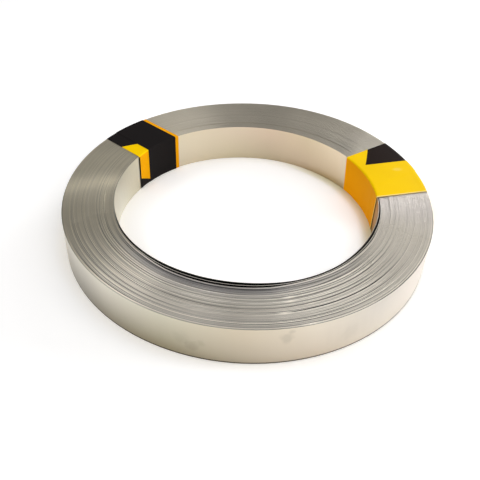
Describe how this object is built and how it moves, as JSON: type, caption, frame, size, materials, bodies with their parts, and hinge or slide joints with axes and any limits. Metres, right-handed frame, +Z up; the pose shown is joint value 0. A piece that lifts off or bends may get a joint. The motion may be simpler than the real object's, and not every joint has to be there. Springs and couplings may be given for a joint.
{
  "type": "nickel strip roll",
  "caption": "Flat nickel strip wound into an open-centred coil that lies on one end, tied with black and yellow warning tape.",
  "frame": {"origin": "on the floor, on the coil's axis, at the bottom centre of the roll as it lies", "axes": "+Z up along the coil's axis; +X to the right and +Y to the back, with one tape tie at the back left and one at the right"},
  "size_m": [0.132, 0.132, 0.0154],
  "materials": {
    "nickel_strip": "satin rolled nickel, fine bright edges on the coil's ends",
    "yellow_tape": "satin adhesive tape",
    "black_tape": "satin adhesive tape"
  },
  "bodies": {
    "root": {"strip_coil": "nickel_strip", "left_tape_under": "yellow_tape", "left_tape_over": "black_tape", "right_tape_under": "black_tape", "right_tape_over": "yellow_tape"}
  },
  "joints": []
}
